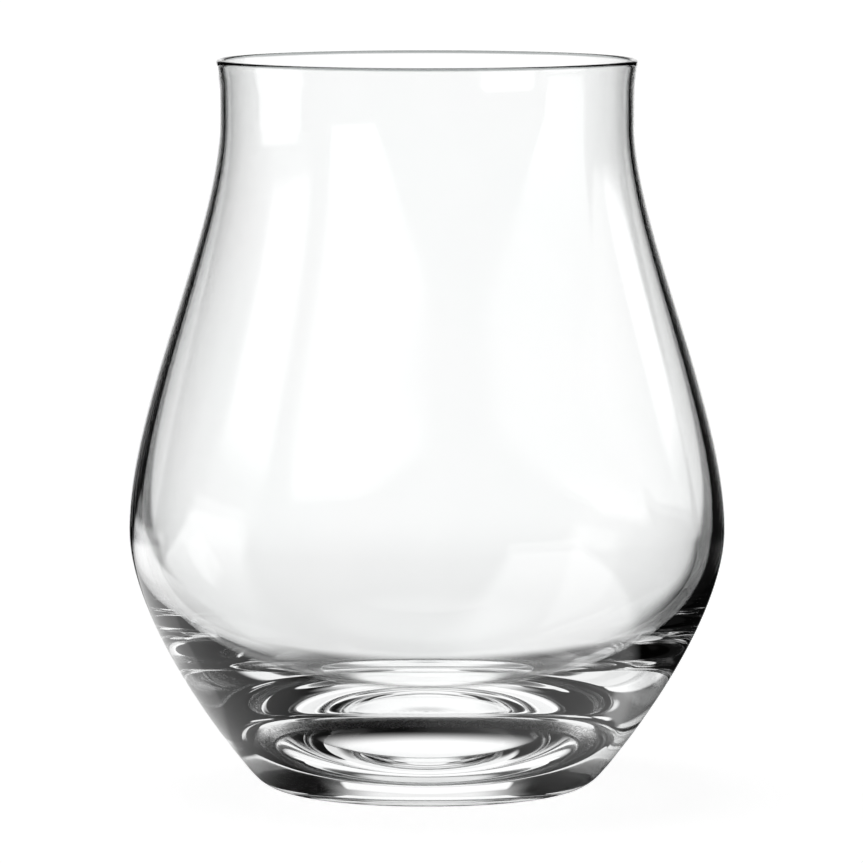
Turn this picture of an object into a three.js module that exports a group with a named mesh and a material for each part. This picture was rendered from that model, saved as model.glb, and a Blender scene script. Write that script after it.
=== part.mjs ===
// A stemless beer tasting glass of clear crystal: a tulip bowl that narrows to a waist under a
// slightly opened rim, on a thick solid base with a flat standing ring.
// The real glass is blown in one piece. Here it is four bodies that meet face to face on level
// planes: the lip above the waist, the shoulder above the belly, the bowl, and the heavy base.
// Millimetres, +Z up, origin on the table under the middle of the base.

import * as THREE from 'three';

// Outside of the glass
const HEIGHT = 110;               // table to the top of the rim
const RIM_RADIUS = 31.65;
const RIM_OPENING = 7;            // degrees that the wall leans out at the rim
const WAIST_RADIUS = 31.2;        // narrowest place of the neck
const WAIST_BELOW_RIM = 9.65;
const BELLY_RADIUS = 44.95;       // widest place
const BELLY_HEIGHT = 39.3;
const STANDING_RADIUS = 21.25;    // outer edge of the flat ring that the glass stands on
const HEEL_RADIUS = 6.55;         // round between the standing ring and the side
const HEEL_SLOPE = 41.2;          // degrees from level at which the heel runs into the side

// Inside of the glass
const RIM_WALL = 0.9;
const WAIST_WALL = 0.95;
const BELLY_WALL = 1.8;
const CAVITY_BELLY_RISE = 1;      // how far above the belly the cavity is widest
const FLOOR_HEIGHT = 8.5;         // table to the middle of the cavity's floor
const FLOOR_REACH = 26.4;         // how far out the floor stays nearly level before it turns up

// Underside
const RING_WIDTH = 1;             // flat standing ring
const PUNT_DEPTH = 3.3;           // shallow round hollow inside the ring

// Reach of the curves' tangents: a longer one keeps its curve straight for further
const RIM_TANGENT = 3.5;
const WAIST_TANGENT_UP = 7.85;
const WAIST_TANGENT_DOWN = 15.8;
const BELLY_TANGENT_UP = 18.55;
const BELLY_TANGENT_DOWN = 14.4;
const HEEL_TANGENT = 3.65;
const CAVITY_TANGENT_UP = 17.55;
const CAVITY_TANGENT_DOWN = 16.25;

// The part of the cavity's depth that lies in the base, below the plane where the bowl begins
const DISH_DEPTH = 8;

// Facets: sides of the round, and steps along each stretch of the outline
const SIDES = 64;
const STEPS = { punt: 4, heel: 4, lower: 5, upper: 10, lip: 4, bead: 6, rise: 1, dish: 6 };

const GLASS = { color: 0xf3f7f8, roughness: 0.02, metalness: 0, transparent: true, opacity: 0.35 };

const waistHeight = HEIGHT - WAIST_BELOW_RIM;
const baseTop = FLOOR_HEIGHT + DISH_DEPTH;

// A point of the outline, and the same point moved by a length along a slope from level
const at = (radius, height) => new THREE.Vector2(radius, height);
const along = (point, slope, length) =>
  at(point.x + length * Math.cos(slope), point.y + length * Math.sin(slope));

const UP = Math.PI / 2;
const heelSlope = THREE.MathUtils.degToRad(HEEL_SLOPE);
const rimSlope = UP - THREE.MathUtils.degToRad(RIM_OPENING);

// The rim is a round bead as thick as the wall there
const beadRadius = RIM_WALL / 2;
const beadCentre = at(RIM_RADIUS - beadRadius, HEIGHT - beadRadius);
const outerRim = along(beadCentre, rimSlope - UP, beadRadius);
const innerRim = along(beadCentre, rimSlope + UP, beadRadius);

// Outside curves, drawn upwards
const standingEdge = at(STANDING_RADIUS, 0);
const heelEnd = at(
  standingEdge.x + HEEL_RADIUS * Math.sin(heelSlope),
  HEEL_RADIUS * (1 - Math.cos(heelSlope)),
);
const belly = at(BELLY_RADIUS, BELLY_HEIGHT);
const waist = at(WAIST_RADIUS, waistHeight);
const outerLower = new THREE.CubicBezierCurve(
  heelEnd,
  along(heelEnd, heelSlope, HEEL_TANGENT),
  along(belly, UP, -BELLY_TANGENT_DOWN),
  belly,
);
const outerUpper = new THREE.CubicBezierCurve(
  belly,
  along(belly, UP, BELLY_TANGENT_UP),
  along(waist, UP, -WAIST_TANGENT_DOWN),
  waist,
);
const outerLip = new THREE.CubicBezierCurve(
  waist,
  along(waist, UP, WAIST_TANGENT_UP),
  along(outerRim, rimSlope, -RIM_TANGENT),
  outerRim,
);

// Inside curves, drawn downwards
const innerWaist = at(WAIST_RADIUS - WAIST_WALL, waistHeight);
const innerBelly = at(BELLY_RADIUS - BELLY_WALL, BELLY_HEIGHT + CAVITY_BELLY_RISE);
const innerLip = new THREE.CubicBezierCurve(
  innerRim,
  along(innerRim, rimSlope, -RIM_TANGENT),
  along(innerWaist, UP, WAIST_TANGENT_UP),
  innerWaist,
);
const innerUpper = new THREE.CubicBezierCurve(
  innerWaist,
  along(innerWaist, UP, -WAIST_TANGENT_DOWN),
  along(innerBelly, UP, CAVITY_TANGENT_UP),
  innerBelly,
);
const innerLower = new THREE.CubicBezierCurve(
  innerBelly,
  along(innerBelly, UP, -CAVITY_TANGENT_DOWN),
  at(FLOOR_REACH, FLOOR_HEIGHT),
  at(0, FLOOR_HEIGHT),
);

// Points along a curve between two shares of it, both ends included
function stretch(curve, from, to, steps) {
  const points = [];
  for (let i = 0; i <= steps; i++) {
    points.push(curve.getPoint(THREE.MathUtils.lerp(from, to, i / steps)));
  }
  return points;
}

// The share of a curve, one that only rises or only falls, at which it passes a height
function shareAt(curve, height) {
  const rises = curve.getPoint(1).y > curve.getPoint(0).y;
  let low = 0;
  let high = 1;
  for (let halving = 0; halving < 40; halving++) {
    const middle = (low + high) / 2;
    const isBelow = curve.getPoint(middle).y < height;
    if (isBelow === rises) {
      low = middle;
    } else {
      high = middle;
    }
  }
  return low;
}

// Points on a round: its angles run from the first to the last, counted from level outwards
function round(centre, radius, from, to, steps) {
  const points = [];
  for (let i = 0; i <= steps; i++) {
    points.push(along(centre, THREE.MathUtils.lerp(from, to, i / steps), radius));
  }
  return points;
}

// One body of the glass, turned about the upright axis
function turned(name, outline) {
  const geometry = new THREE.LatheGeometry(outline, SIDES);
  geometry.rotateX(UP);
  const mesh = new THREE.Mesh(geometry, new THREE.MeshStandardMaterial(GLASS));
  mesh.name = name;
  return mesh;
}

// Joins stretches that begin where the last one ended
function joined(...stretches) {
  const [first, ...others] = stretches;
  return [first, ...others.map((points) => points.slice(1))].flat();
}

// A curve's point on a level plane, given its share there
const onPlane = (curve, share, height) => at(curve.getPoint(share).x, height);

// The planes between shoulder and bowl, and between bowl and base, cut these curves
const outerBaseShare = shareAt(outerLower, baseTop);
const innerBaseShare = shareAt(innerLower, baseTop);
const innerBellyShare = shareAt(innerLower, BELLY_HEIGHT);
const outerSeat = onPlane(outerLower, outerBaseShare, baseTop);
const innerSeat = onPlane(innerLower, innerBaseShare, baseTop);
const innerStep = onPlane(innerLower, innerBellyShare, BELLY_HEIGHT);

function makeLip() {
  const outline = joined(
    stretch(outerLip, 0, 1, STEPS.lip),
    round(beadCentre, beadRadius, rimSlope - UP, rimSlope + UP, STEPS.bead),
    stretch(innerLip, 0, 1, STEPS.lip),
  );
  return turned('lip', [...outline, waist]);
}

function makeShoulder() {
  const outside = stretch(outerUpper, 0, 1, STEPS.upper);
  const inside = joined(
    stretch(innerUpper, 0, 1, STEPS.upper),
    stretch(innerLower, 0, innerBellyShare, STEPS.rise),
  );
  return turned('shoulder', [...outside, ...inside.slice(0, -1), innerStep, belly]);
}

function makeBowl() {
  const outside = stretch(outerLower, outerBaseShare, 1, STEPS.lower).slice(1);
  const inside = stretch(innerLower, innerBellyShare, innerBaseShare, STEPS.lower).slice(1, -1);
  return turned('bowl', [outerSeat, ...outside, innerStep, ...inside, innerSeat, outerSeat]);
}

function makeBase() {
  const ringInside = STANDING_RADIUS - RING_WIDTH;
  const puntRadius = (ringInside ** 2 + PUNT_DEPTH ** 2) / (2 * PUNT_DEPTH);
  const puntCentre = at(0, PUNT_DEPTH - puntRadius);
  const puntEdge = UP - Math.asin(ringInside / puntRadius);
  const heelCentre = at(STANDING_RADIUS, HEEL_RADIUS);
  const punt = round(puntCentre, puntRadius, UP, puntEdge, STEPS.punt);
  const heel = round(heelCentre, HEEL_RADIUS, -UP, heelSlope - UP, STEPS.heel);
  const side = stretch(outerLower, 0, outerBaseShare, STEPS.lower);
  const dish = stretch(innerLower, innerBaseShare, 1, STEPS.dish);
  const middle = [at(0, PUNT_DEPTH), ...punt.slice(1, -1), at(ringInside, 0)];
  const outside = [standingEdge, ...heel.slice(1), ...side.slice(1, -1), outerSeat];
  return turned('base', [...middle, ...outside, innerSeat, ...dish.slice(1, -1), at(0, FLOOR_HEIGHT)]);
}

const glass = new THREE.Group();
glass.add(makeLip(), makeShoulder(), makeBowl(), makeBase());

export default glass;
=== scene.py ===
"""A stemless beer tasting glass of clear crystal, turned from its outline, on a bright table."""

import math

import bpy
from bpy.props import FloatProperty, FloatVectorProperty, PointerProperty
from bpy.types import Operator, Panel, PropertyGroup
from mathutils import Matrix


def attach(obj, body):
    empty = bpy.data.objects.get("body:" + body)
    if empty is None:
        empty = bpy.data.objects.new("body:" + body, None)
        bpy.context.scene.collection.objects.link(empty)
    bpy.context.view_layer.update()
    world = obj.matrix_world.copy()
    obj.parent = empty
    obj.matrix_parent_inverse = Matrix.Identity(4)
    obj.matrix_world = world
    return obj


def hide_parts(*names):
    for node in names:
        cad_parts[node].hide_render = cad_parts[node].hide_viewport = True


bl_info = {
    "name": "Beer Tasting Glass",
    "version": (1, 0, 0),
    "blender": (4, 5, 0),
    "location": "3D View > Sidebar > Tasting Glass",
    "description": "Turns a clear crystal tasting glass from its outline and sets it on a bright table",
    "category": "Object",
}

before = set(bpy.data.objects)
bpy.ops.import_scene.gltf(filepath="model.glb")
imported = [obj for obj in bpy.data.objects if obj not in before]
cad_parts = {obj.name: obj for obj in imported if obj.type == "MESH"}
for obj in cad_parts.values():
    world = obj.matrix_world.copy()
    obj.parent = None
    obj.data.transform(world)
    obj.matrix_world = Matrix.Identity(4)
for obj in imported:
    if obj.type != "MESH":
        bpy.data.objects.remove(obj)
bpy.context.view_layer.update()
UP = math.pi / 2

# Points along the stretches of the outline, sides of the round, and how near points are joined
PUNT_POINTS = 28
RING_POINTS = 6
HEEL_POINTS = 20
WALL_POINTS = 64
LIP_POINTS = 20
BEAD_POINTS = 14
DISH_POINTS = 96
GLASS_SIDES = 192
MERGE_DISTANCE = 1e-6

# Scale of the crystal's patterns, in cells to the metre, and how much of the smears' noise shows
WAVE_SCALE = 55
SMEAR_SCALE = 130
SCUFF_SCALE = 2600
SMEAR_RANGE = 0.45, 0.8

# Up to where the standing ring is scuffed, and from where to where below the rim the lip begins; the
# lip's roughness is drinking wear and its darker colour is a painted shade
SCUFF_HEIGHT = 0.0006
LIP_SHADE_AND_WEAR_EDGE = 0.0006, 0.0003

# White strips on the tent's floor: bearing from straight behind the glass, where the strip begins,
# where it is brightest and where it starts to fade, half its width at the glass, how much that grows
# with distance, and its share of white where it begins and where it is brightest
# The lower share where a strip begins, near the glass, is a painted shade on the floor round the
# glass's foot
FLOOR_STRIPS = (
    (0, 0.022, 0.36, 3.0, 0.026, 0.265, 0.84, 1.0),
    (-45, 0.03, 0.24, 0.25, 0.028, 0.2, 0.75, 0.9),
    (-90, 0.03, 0.3, 3.0, 0.026, 0.27, 0.5, 1.0),
    (135, 0.03, 0.2, 0.5, 0.026, 0.2, 0.8, 1.0),
)
STRIP_EDGE = 0.005          # softness of a strip's sides at the glass
STRIP_EDGE_GROWTH = 0.012   # how much that grows with distance
STRIP_START = 0.7, 1.3      # shares of its first distance over which a strip appears
STRIP_FADE = 1.4            # share of its last distance at which a strip is gone

# White windows in the tent's wall: bearing, half the width, bottom and top, all in degrees as seen
# from the glass, how soft the edges are at the sides and at the ends, and the share of white
WALL_WINDOWS = (
    (0, 15, -9, 13, 0.012, 0.05, 1.0),
    (0, 14, 8, 42, 0.13, 0.15, 1.0),
    (-90, 14, -9, 4, 0.05, 0.02, 1.0),
    (-97, 14, -9, 26, 0.05, 0.05, 0.2),
    (-100, 13, 13, 26, 0.05, 0.06, 0.95),
    (60, 8, 8, 26, 0.03, 0.06, 0.9),
)

# Where the tent's other parts begin and end
FLOOR_ENDS = 0.001, 0.002   # height over distance at which the floor stops
WALL_STARTS = 0.0, 0.0005   # height over distance at which the wall begins
FRONT_EDGE = 0.0, 0.01      # distance along its bearing over which a window begins
UNDER_EDGE = 0.8, 1.2       # shares of its radius over which the disc under the base ends
ROOF_EDGE = 0.02, 0.01      # distance below the roof over which it begins
ROOF_FADE = 0.5             # share of its radius at which the roof's softbox starts to fade

# The stage's sheets lie a little under the glass, so that none of their faces meets its ring
TABLE_DROP = 0.0006
TENT_DROP = 0.0003
TABLE_RADIUS = 8
TABLE_SIDES = 64
TABLE_GLOW = 0.15, 0.7      # distances from the middle over which the table's glow grows
TENT_SIDES = 96

# The camera stands at the photograph's viewing angle
CAMERA_PLACE = 0, -1.0933, 0.15718
CAMERA_DIP = 0.0942
CAMERA_LENS = 304.05
CAMERA_SENSOR = 36
CAMERA_SHIFT = 4.5 / 863
CAMERA_NEAR = 0.01

# The lamp hangs over the glass, a little to the left; light crosses clear glass in many bounces
LAMP_SIZE = 0.4
LAMP_PLACE = -0.1, 0.05, 0.7
BOUNCES = 32


def length(name, description, millimetres):
    """A length that a user may change, with its default given in millimetres."""
    return FloatProperty(
        name=name,
        description=description,
        default=millimetres / 1000,
        min=0.0,
        precision=5,
        unit="LENGTH",
    )


def slope(name, description, degrees):
    """An angle that a user may change, with its default given in degrees."""
    return FloatProperty(
        name=name,
        description=description,
        default=math.radians(degrees),
        unit="ROTATION",
    )


def share(name, description, value, least=0.0, most=1.0):
    """A plain number that a user may change."""
    return FloatProperty(
        name=name,
        description=description,
        default=value,
        min=least,
        max=most,
        precision=4,
    )


def colour(name, description, value):
    """A colour that a user may change."""
    return FloatVectorProperty(
        name=name,
        description=description,
        default=(*value, 1.0),
        size=4,
        min=0.0,
        max=1.0,
        subtype="COLOR",
    )


class GlassSizes(PropertyGroup):
    """Sizes of the outline that the glass is turned from; the same sizes drive the solids."""

    height: length("Height", "Table to the top of the rim", 110)
    rim_radius: length("Rim radius", "Outside radius at the top of the rim", 31.65)
    rim_opening: slope("Rim opening", "How far the wall leans out at the rim", 7)
    waist_radius: length("Waist radius", "Outside radius at the narrowest place of the neck", 31.2)
    waist_below_rim: length("Waist below rim", "Rim down to the narrowest place", 9.65)
    belly_radius: length("Belly radius", "Outside radius at the widest place", 44.95)
    belly_height: length("Belly height", "Table to the widest place", 39.3)
    standing_radius: length("Standing radius", "Outer edge of the flat standing ring", 21.25)
    heel_radius: length("Heel radius", "Round between the standing ring and the side", 6.55)
    heel_slope: slope("Heel slope", "Slope at which the heel runs into the side", 41.2)
    rim_wall: length("Rim wall", "Wall thickness at the rim", 0.9)
    waist_wall: length("Waist wall", "Wall thickness at the waist", 0.95)
    belly_wall: length("Belly wall", "Wall thickness where the cavity is widest", 1.8)
    cavity_rise: length("Cavity rise", "How far above the belly the cavity is widest", 1)
    floor_height: length("Floor height", "Table to the middle of the cavity's floor", 8.5)
    floor_reach: length("Floor reach", "How far out the floor stays nearly level", 26.4)
    ring_width: length("Ring width", "Width of the flat standing ring", 1)
    punt_depth: length("Punt depth", "Depth of the round hollow under the base", 3.3)
    rim_tangent: length("Rim tangent", "Reach of the curve's tangent at the rim", 3.5)
    waist_tangent_up: length("Waist tangent up", "Reach of the tangent above the waist", 7.85)
    waist_tangent_down: length("Waist tangent down", "Reach of the tangent below the waist", 15.8)
    belly_tangent_up: length("Belly tangent up", "Reach of the tangent above the belly", 18.55)
    belly_tangent_down: length("Belly tangent down", "Reach of the tangent below the belly", 14.4)
    heel_tangent: length("Heel tangent", "Reach of the tangent above the heel", 3.65)
    cavity_tangent_up: length("Cavity tangent up", "Reach of the inside's upper tangent", 17.55)
    cavity_tangent_down: length("Cavity tangent down", "Reach of the inside's lower tangent", 16.25)


class CrystalFinish(PropertyGroup):
    """How the crystal looks."""

    tint: colour("Tint", "Colour that the crystal gives to what is seen through it", (1, 1, 1))
    deep_tint: colour("Deep tint", "Colour where the crystal is tinted most", (0.985, 0.995, 0.993))
    # Painted shade: this grey darkens the lip to stand in for the dark line that the rim shows edge on.
    # It is not a colour of the crystal.
    painted_rim_shade: colour("Edge tint", "Colour of the lip, seen edge on along the wall", (0.3, 0.32, 0.32))
    waves: length("Waves", "Height of the faint waves that fire-polishing leaves", 0.02)
    smears: share("Smears", "Roughness where the polish is dullest", 0.02)
    wear: share("Wear", "Roughness of the scuffed standing ring", 0.5)
    lip_wear: share("Lip wear", "Roughness at the top of the lip, which drinking wears", 0.1)
    refraction: share("Refraction", "Index of refraction", 1.52, least=1.0, most=2.0)


class StudioSet(PropertyGroup):
    """The table and the light tent that the glass stands in."""

    table: colour("Table", "Colour of the table top", (0.8, 0.8, 0.8))
    near_glow: share("Near glow", "Brightness of the table round the glass", 0.88)
    far_glow: share("Far glow", "Brightness of the table far from the glass", 1.0)
    tent_radius: length("Tent radius", "Middle of the glass to the tent's wall", 2400)
    tent_height: length("Tent height", "Table to the tent's roof", 2900)
    cloth: share("Cloth", "Brightness of the tent's dark cloth", 0.005)
    backdrop: share("Backdrop", "Brightness of the tent's white windows", 1.14, most=2.0)
    under_light: length("Light under the base", "Radius of the white disc under the base", 15)
    roof_light: share("Roof light", "Brightness of the softbox in the roof", 1.0, most=2.0)
    roof_back: length("Roof light back", "How far behind the glass the roof's softbox hangs", 480)
    roof_radius: length("Roof light radius", "Radius of the roof's softbox", 1700)
    room_light: share("Room light", "Brightness of the soft light from all round", 0.1)
    lamp_power: share("Lamp power", "Power of the lamp that casts the shadow, in watts", 0.5, most=10.0)


class Wire:
    """A value in a node tree; arithmetic on it adds Math nodes."""

    def __init__(self, board, socket):
        self.board = board
        self.socket = socket

    def math(self, operation, first, second=0.0):
        return self.board.add("ShaderNodeMath", {"operation": operation}, {0: first, 1: second})

    def __add__(self, other):
        return self.math("ADD", self, other)

    def __radd__(self, other):
        return self.math("ADD", other, self)

    def __sub__(self, other):
        return self.math("SUBTRACT", self, other)

    def __rsub__(self, other):
        return self.math("SUBTRACT", other, self)

    def __mul__(self, other):
        return self.math("MULTIPLY", self, other)

    def __rmul__(self, other):
        return self.math("MULTIPLY", other, self)

    def __truediv__(self, other):
        return self.math("DIVIDE", self, other)

    def __rtruediv__(self, other):
        return self.math("DIVIDE", other, self)

    def __neg__(self):
        return self.math("SUBTRACT", 0.0, self)

    def __abs__(self):
        return self.math("ABSOLUTE", self)

    def asin(self):
        return self.math("ARCSINE", self)

    def root(self):
        return self.math("SQRT", self)

    def most(self, other):
        return self.math("MAXIMUM", self, other)


def sine(angle):
    """The sine of a number or of a wire."""
    return angle.math("SINE", angle) if isinstance(angle, Wire) else math.sin(angle)


def cosine(angle):
    """The cosine of a number or of a wire."""
    return angle.math("COSINE", angle) if isinstance(angle, Wire) else math.cos(angle)


class Board:
    """A node tree that nodes are added to."""

    def __init__(self, tree):
        self.tree = tree

    def add(self, kind, settings=None, sockets=None, output=0):
        """Adds a node: its settings first, then the values or links of its sockets.

        Gives a wire from one output, or a list of wires where output is a list of names.
        """
        node = self.tree.nodes.new(kind)
        for name, value in (settings or {}).items():
            setattr(node, name, value)
        for name, value in (sockets or {}).items():
            for item in value if isinstance(value, list) else [value]:
                if isinstance(item, Wire):
                    self.tree.links.new(item.socket, node.inputs[name])
                else:
                    node.inputs[name].default_value = item
        if isinstance(output, list):
            return [Wire(self, node.outputs[name]) for name in output]
        return Wire(self, node.outputs[output]) if node.outputs else None

    def step(self, value, low, high, first=0.0, last=1.0):
        """A smooth step from the first level to the last one, as a value goes from low to high."""
        return self.add(
            "ShaderNodeMapRange",
            {"interpolation_type": "SMOOTHSTEP"},
            {"Value": value, "From Min": low, "From Max": high, "To Min": first, "To Max": last},
        )

    def noise(self, place, scale, detail):
        return self.add(
            "ShaderNodeTexNoise", None, {"Vector": place, "Scale": scale, "Detail": detail}
        )

    def mixed(self, factor, first, second):
        """A colour between two others."""
        return self.add(
            "ShaderNodeMix",
            {"data_type": "RGBA"},
            {"Factor": factor, "A": first, "B": second},
            output="Result",
        )

    def object_place(self):
        """Where a point lies on its object."""
        return self.add("ShaderNodeTexCoord", output="Object")

    def parts(self, place):
        return self.add("ShaderNodeSeparateXYZ", None, {0: place}, output=["X", "Y", "Z"])

    def distance(self, place):
        return self.add(
            "ShaderNodeVectorMath", {"operation": "LENGTH"}, {0: place}, output="Value"
        )


def blank_board(owner):
    """A board on an emptied material or world."""
    owner.use_nodes = True
    owner.node_tree.nodes.clear()
    return Board(owner.node_tree)


class Outline:
    """The stretches of the glass's outline as curves, in a plane through its axis."""

    def __init__(self, board, axis_offset):
        self.board = board
        self.axis_offset = axis_offset
        self.curves = []

    def place(self, point):
        radius, height = point
        return self.board.add(
            "ShaderNodeCombineXYZ", None, {0: radius - self.axis_offset, 1: -height}
        )

    def draw(self, kind, mode, names, points, resolution):
        places = {name: self.place(point) for name, point in zip(names, points)}
        settings = {"mode": mode}
        self.curves.append(self.board.add(kind, settings, {"Resolution": resolution, **places}))

    def curve(self, start, first, second, end, resolution):
        """A smooth stretch between two points, drawn by its two tangents' ends."""
        kind = "GeometryNodeCurvePrimitiveBezierSegment"
        names = "Start", "Start Handle", "End Handle", "End"
        self.draw(kind, "POSITION", names, (start, first, second, end), resolution)

    def round(self, centre, radius, first, last, resolution):
        """A round stretch, from one angle to another about its centre."""
        names = "Start", "Middle", "End"
        angles = first, 0.5 * (first + last), last
        points = [along(centre, angle, radius) for angle in angles]
        self.draw("GeometryNodeCurveArc", "POINTS", names, points, resolution)


def along(point, angle, distance):
    """A point moved by a distance at an angle from level."""
    radius, height = point
    return radius + distance * cosine(angle), height + distance * sine(angle)


def raised(point, distance):
    """A point moved straight up."""
    radius, height = point
    return radius, height + distance


def draw_outside(outline, size, waist, belly, outer_rim, rim_slope):
    """Draws the underside and the outside, from the middle of the base up to the rim."""
    ring_inside = size["standing_radius"] - size["ring_width"]
    punt_depth = size["punt_depth"]
    punt_radius = (ring_inside * ring_inside + punt_depth * punt_depth) / (2 * punt_depth)
    punt_half = (ring_inside / punt_radius).asin()
    outline.round((0.0, punt_depth - punt_radius), punt_radius, UP, UP - punt_half, PUNT_POINTS)
    ring_edge = ring_inside, 0.0
    standing_edge = size["standing_radius"], 0.0
    outline.curve(ring_edge, ring_edge, standing_edge, standing_edge, RING_POINTS)
    heel = size["standing_radius"], size["heel_radius"]
    outline.round(heel, size["heel_radius"], -UP, size["heel_slope"] - UP, HEEL_POINTS)
    heel_end = along(heel, size["heel_slope"] - UP, size["heel_radius"])
    outline.curve(
        heel_end,
        along(heel_end, size["heel_slope"], size["heel_tangent"]),
        raised(belly, -size["belly_tangent_down"]),
        belly,
        WALL_POINTS,
    )
    outline.curve(
        belly,
        raised(belly, size["belly_tangent_up"]),
        raised(waist, -size["waist_tangent_down"]),
        waist,
        WALL_POINTS,
    )
    outline.curve(
        waist,
        raised(waist, size["waist_tangent_up"]),
        along(outer_rim, rim_slope, -size["rim_tangent"]),
        outer_rim,
        LIP_POINTS,
    )


def draw_inside(outline, size, inner_waist, inner_belly, inner_rim, rim_slope):
    """Draws the cavity, from the rim down to the middle of its floor."""
    outline.curve(
        inner_rim,
        along(inner_rim, rim_slope, -size["rim_tangent"]),
        raised(inner_waist, size["waist_tangent_up"]),
        inner_waist,
        LIP_POINTS,
    )
    outline.curve(
        inner_waist,
        raised(inner_waist, -size["waist_tangent_down"]),
        raised(inner_belly, size["cavity_tangent_up"]),
        inner_belly,
        WALL_POINTS,
    )
    outline.curve(
        inner_belly,
        raised(inner_belly, -size["cavity_tangent_down"]),
        (size["floor_reach"], size["floor_height"]),
        (0.0, size["floor_height"]),
        DISH_POINTS,
    )


def turned_glass_tree(crystal):
    """Builds the node tree that draws the outline from its sizes and turns it about the axis."""
    tree = bpy.data.node_groups.new("turned_glass", "GeometryNodeTree")
    tree.interface.new_socket("Glass", in_out="OUTPUT", socket_type="NodeSocketGeometry")
    names = list(GlassSizes.__annotations__)
    labels = [GlassSizes.bl_rna.properties[name].name for name in names]
    for label in labels:
        tree.interface.new_socket(label, in_out="INPUT", socket_type="NodeSocketFloat")
    board = Board(tree)
    size = dict(zip(names, board.add("NodeGroupInput", output=labels)))

    rim_slope = UP - size["rim_opening"]
    bead_radius = 0.5 * size["rim_wall"]
    bead = size["rim_radius"] - bead_radius, size["height"] - bead_radius
    outer_rim = along(bead, rim_slope - UP, bead_radius)
    inner_rim = along(bead, rim_slope + UP, bead_radius)
    waist_height = size["height"] - size["waist_below_rim"]
    waist = size["waist_radius"], waist_height
    belly = size["belly_radius"], size["belly_height"]
    inner_waist = size["waist_radius"] - size["waist_wall"], waist_height
    inner_belly = (
        size["belly_radius"] - size["belly_wall"],
        size["belly_height"] + size["cavity_rise"],
    )

    outline = Outline(board, size["belly_radius"])
    draw_outside(outline, size, waist, belly, outer_rim, rim_slope)
    outline.round(bead, bead_radius, rim_slope - UP, rim_slope + UP, BEAD_POINTS)
    draw_inside(outline, size, inner_waist, inner_belly, inner_rim, rim_slope)

    # The outline follows a circle as wide as the belly, which is why it is drawn from that radius
    path = board.add(
        "GeometryNodeCurvePrimitiveCircle",
        None,
        {"Resolution": GLASS_SIDES, "Radius": size["belly_radius"]},
    )
    profile = board.add("GeometryNodeJoinGeometry", None, {"Geometry": outline.curves})
    walls = board.add("GeometryNodeCurveToMesh", None, {"Curve": path, "Profile Curve": profile})
    outward = board.add("GeometryNodeFlipFaces", None, {"Mesh": walls})
    closed = board.add(
        "GeometryNodeMergeByDistance", None, {"Geometry": outward, "Distance": MERGE_DISTANCE}
    )
    smooth = board.add("GeometryNodeSetShadeSmooth", None, {"Geometry": closed})
    real = board.add("GeometryNodeRealizeInstances", None, {"Geometry": smooth})
    finished = board.add("GeometryNodeSetMaterial", None, {"Geometry": real, "Material": crystal})
    board.add("NodeGroupOutput", None, {"Glass": finished})
    return tree


def clear_crystal(finish, rim_height):
    """Clear crystal with faint waves, changes of polish, a scuffed standing ring and a worn lip, whose
    colour is darkened as a painted shade of the dark line that the rim shows edge on.
    """
    material = bpy.data.materials.new("clear_crystal")
    board = blank_board(material)
    place = board.object_place()
    height = board.parts(place)[2]
    waves = board.noise(place, WAVE_SCALE, 0)
    smears = board.noise(place, SMEAR_SCALE, 1)
    scuffs = board.noise(place, SCUFF_SCALE, 0)
    scuffed = board.step(height, 0.0, SCUFF_HEIGHT, 1.0, 0.0)
    # The lip band gets real drinking wear as roughness and a painted shade as a darker colour
    lip = board.step(height, *(rim_height - below for below in LIP_SHADE_AND_WEAR_EDGE))
    dull, dullest = SMEAR_RANGE
    polish = board.add(
        "ShaderNodeMapRange",
        None,
        {"Value": smears, "From Min": dull, "From Max": dullest, "To Max": finish.smears},
    )
    tint = board.mixed(waves, finish.tint, finish.deep_tint)
    ripple = board.add("ShaderNodeBump", None, {"Distance": finish.waves, "Height": waves})
    shader = board.add(
        "ShaderNodeBsdfPrincipled",
        None,
        {
            # Painted shade: the lip takes a darker colour for the dark line that the rim shows edge on
            "Base Color": board.mixed(lip, tint, finish.painted_rim_shade),
            "Roughness": polish + scuffed * scuffs * finish.wear + lip * finish.lip_wear,
            "IOR": finish.refraction,
            "Normal": ripple,
            "Transmission Weight": 1.0,
        },
    )
    board.add("ShaderNodeOutputMaterial", None, {"Surface": shader})
    return material


class TurnGlass(Operator):
    """Turn the whole glass, lip, shoulder, bowl and base, as one unbroken piece of crystal"""

    bl_idname = "tasting_glass.turn_glass"
    bl_label = "Turn the Glass"
    bl_options = {"REGISTER", "UNDO"}

    def execute(self, context):
        sizes = context.scene.glass_sizes
        crystal = clear_crystal(context.scene.crystal_finish, sizes.height)
        tree = turned_glass_tree(crystal)
        glass = bpy.data.objects.new("glass", bpy.data.meshes.new("glass_start"))
        context.scene.collection.objects.link(glass)
        modifier = glass.modifiers.new("Turned glass", "NODES")
        modifier.node_group = tree
        names = {sizes.bl_rna.properties[name].name: name for name in GlassSizes.__annotations__}
        for item in tree.interface.items_tree:
            if item.item_type == "SOCKET" and item.in_out == "INPUT":
                modifier[item.identifier] = getattr(sizes, names[item.name])
        shaped = glass.evaluated_get(context.evaluated_depsgraph_get())
        glass.data = bpy.data.meshes.new_from_object(shaped)
        glass.modifiers.remove(modifier)
        if not glass.data.polygons:
            raise RuntimeError("the outline gave no surface")
        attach(glass, "root")
        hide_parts("lip", "shoulder", "bowl", "base")
        return {"FINISHED"}


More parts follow.
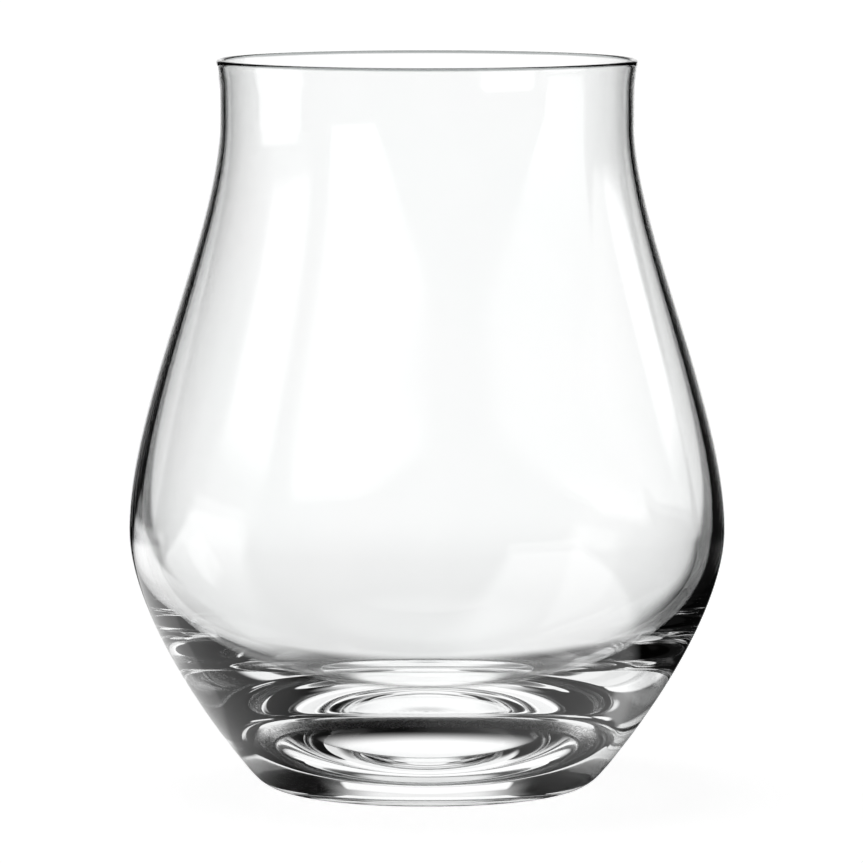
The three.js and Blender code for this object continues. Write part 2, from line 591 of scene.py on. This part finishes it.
def turned_sheet(name, outline, sides, material):
    """A thin stage sheet turned about the axis from points of radius and height."""
    points, faces = [], []
    for radius, height in outline:
        for side in range(sides):
            angle = 2 * math.pi * side / sides
            points.append((radius * math.sin(angle), radius * math.cos(angle), height))
    for ring in range(len(outline) - 1):
        low, high = ring * sides, (ring + 1) * sides
        for side in range(sides):
            after = (side + 1) % sides
            faces.append((low + side, low + after, high + after, high + side))
    mesh = bpy.data.meshes.new(name)
    mesh.from_pydata(points, [], faces)
    mesh.materials.append(material)
    sheet = bpy.data.objects.new(name, mesh)
    bpy.context.scene.collection.objects.link(sheet)
    return sheet


def seen_directly(board):
    """One for a ray that shows the stage: straight, mirrored or through glass."""
    names = ["Is Camera Ray", "Is Glossy Ray", "Is Transmission Ray"]
    straight, mirrored, through = board.add("ShaderNodeLightPath", output=names)
    return straight.most(mirrored).most(through)


def table_finish(studio):
    """A bright table top that still takes the glass's shadow."""
    material = bpy.data.materials.new("bright_table")
    board = blank_board(material)
    matt = board.add("ShaderNodeBsdfDiffuse", None, {"Color": studio.table})
    away = board.distance(board.object_place())
    glow = board.step(away, *TABLE_GLOW, studio.near_glow, studio.far_glow)
    light = board.add("ShaderNodeEmission", None, {"Color": glow * seen_directly(board)})
    both = board.add("ShaderNodeAddShader", None, {0: matt, 1: light})
    board.add("ShaderNodeOutputMaterial", None, {"Surface": both})
    return material


def tent_finish(studio):
    """Dark cloth with soft-edged white strips and windows, and a softbox in the roof; the strips are
    dimmed near the glass as a painted shade round its foot.
    """
    material = bpy.data.materials.new("tent_cloth")
    board = blank_board(material)
    place = board.object_place()
    right, back, height = board.parts(place)
    away = (right * right + back * back).root()
    rise = height / away
    on_floor = 1 - board.step(rise, *FLOOR_ENDS)
    on_wall = board.step(rise, *WALL_STARTS)

    def facing(bearing):
        """How far a point lies along a bearing, and how far to the side of it."""
        angle = math.radians(bearing)
        ahead = right * math.sin(angle) + back * math.cos(angle)
        return ahead, abs(right * math.cos(angle) - back * math.sin(angle))

    disc_edge = (part * studio.under_light for part in UNDER_EDGE)
    light = 1 - board.step(board.distance(place), *disc_edge)
    for bearing, start, full, end, half_width, spread, near, far in FLOOR_STRIPS:
        ahead, across = facing(bearing)
        room = ahead * spread + half_width - across
        strip = board.step(room / (ahead * STRIP_EDGE_GROWTH + STRIP_EDGE), -1, 1)
        strip = strip * board.step(ahead, *(part * start for part in STRIP_START))
        strip = strip * (1 - board.step(ahead, end, STRIP_FADE * end)) * on_floor
        # Painted shade: each strip is dimmer where it begins, near the glass, than where it is
        # brightest
        light = light.most(strip * board.step(ahead, start, full, near, far))
    for bearing, half_width, bottom, top, sides, ends, white in WALL_WINDOWS:
        ahead, across = facing(bearing)
        room = ahead * math.tan(math.radians(half_width)) - across
        low, high = math.tan(math.radians(bottom)), math.tan(math.radians(top))
        window = board.step(room / away, -sides, sides) * board.step(ahead, *FRONT_EDGE) * on_wall
        window = window * board.step(rise, low - ends, low + ends)
        light = light.most(window * board.step(rise, high - ends, high + ends, white, 0.0))
    behind = back - studio.roof_back
    off_middle = (right * right + behind * behind).root()
    roof = board.step(height, *(studio.tent_height - below for below in ROOF_EDGE))
    fade = ROOF_FADE * studio.roof_radius
    roof = roof * (1 - board.step(off_middle, fade, studio.roof_radius))
    level = light * studio.backdrop + roof * studio.roof_light + studio.cloth
    glow = board.add("ShaderNodeEmission", None, {"Color": level})
    board.add("ShaderNodeOutputMaterial", None, {"Surface": glow})
    return material


def light_world(scene, studio):
    """White behind everything, and a little soft light from all round."""
    world = bpy.data.worlds.new("studio")
    board = blank_board(world)
    level = seen_directly(board) * (1 - studio.room_light) + studio.room_light
    sky = board.add("ShaderNodeBackground", None, {"Color": level})
    board.add("ShaderNodeOutputWorld", None, {"Surface": sky})
    scene.world = world


def hang_lamp(scene, studio):
    """Hangs the soft lamp that casts the glass's shadow on the table."""
    light = bpy.data.lights.new("softbox", "AREA")
    light.size = LAMP_SIZE
    light.energy = studio.lamp_power
    lamp = bpy.data.objects.new("softbox", light)
    lamp.location = LAMP_PLACE
    lamp.visible_glossy = False
    lamp.visible_transmission = False
    scene.collection.objects.link(lamp)


def stand_camera(scene):
    """Stands the camera where the photograph was taken from."""
    lens = bpy.data.cameras.new("camera")
    lens.sensor_width = CAMERA_SENSOR
    lens.lens = CAMERA_LENS
    lens.shift_x = CAMERA_SHIFT
    lens.clip_start = CAMERA_NEAR
    camera = bpy.data.objects.new("camera", lens)
    camera.location = CAMERA_PLACE
    camera.rotation_euler = UP - CAMERA_DIP, 0, 0
    scene.collection.objects.link(camera)
    scene.camera = camera


class SetStage(Operator):
    """Set the bright table, the light tent, the lamp and the camera"""

    bl_idname = "tasting_glass.set_stage"
    bl_label = "Set the Stage"
    bl_options = {"REGISTER", "UNDO"}

    def execute(self, context):
        scene = context.scene
        studio = scene.studio_set
        scene.view_settings.view_transform = "Standard"
        scene.cycles.max_bounces = BOUNCES
        scene.cycles.glossy_bounces = BOUNCES
        scene.cycles.transmission_bounces = BOUNCES
        light_world(scene, studio)
        table = [(0, -TABLE_DROP), (TABLE_RADIUS, -TABLE_DROP)]
        turned_sheet("table", table, TABLE_SIDES, table_finish(studio))
        wall, roof = studio.tent_radius, studio.tent_height
        shell = [(0, -TENT_DROP), (wall, -TENT_DROP), (wall, roof), (0, roof)]
        tent = turned_sheet("tent", shell, TENT_SIDES, tent_finish(studio))
        tent.visible_camera = False
        tent.visible_diffuse = False
        tent.visible_shadow = False
        hang_lamp(scene, studio)
        stand_camera(scene)
        return {"FINISHED"}


class GlassPanel(Panel):
    """The glass, its finish and its stage in the sidebar"""

    bl_idname = "VIEW3D_PT_tasting_glass"
    bl_label = "Tasting Glass"
    bl_space_type = "VIEW_3D"
    bl_region_type = "UI"
    bl_category = "Tasting Glass"

    def draw(self, context):
        scene = context.scene
        for group, operator in (
            (scene.glass_sizes, TurnGlass),
            (scene.crystal_finish, None),
            (scene.studio_set, SetStage),
        ):
            box = self.layout.box()
            for name in type(group).__annotations__:
                box.prop(group, name)
            if operator:
                box.operator(operator.bl_idname)


CLASSES = GlassSizes, CrystalFinish, StudioSet, TurnGlass, SetStage, GlassPanel


def register():
    for entry in CLASSES:
        bpy.utils.register_class(entry)
    bpy.types.Scene.glass_sizes = PointerProperty(type=GlassSizes)
    bpy.types.Scene.crystal_finish = PointerProperty(type=CrystalFinish)
    bpy.types.Scene.studio_set = PointerProperty(type=StudioSet)


def unregister():
    del bpy.types.Scene.studio_set
    del bpy.types.Scene.crystal_finish
    del bpy.types.Scene.glass_sizes
    for entry in reversed(CLASSES):
        bpy.utils.unregister_class(entry)


def main():
    register()
    bpy.ops.tasting_glass.turn_glass()
    bpy.ops.tasting_glass.set_stage()


if __name__ == "__main__":
    main()
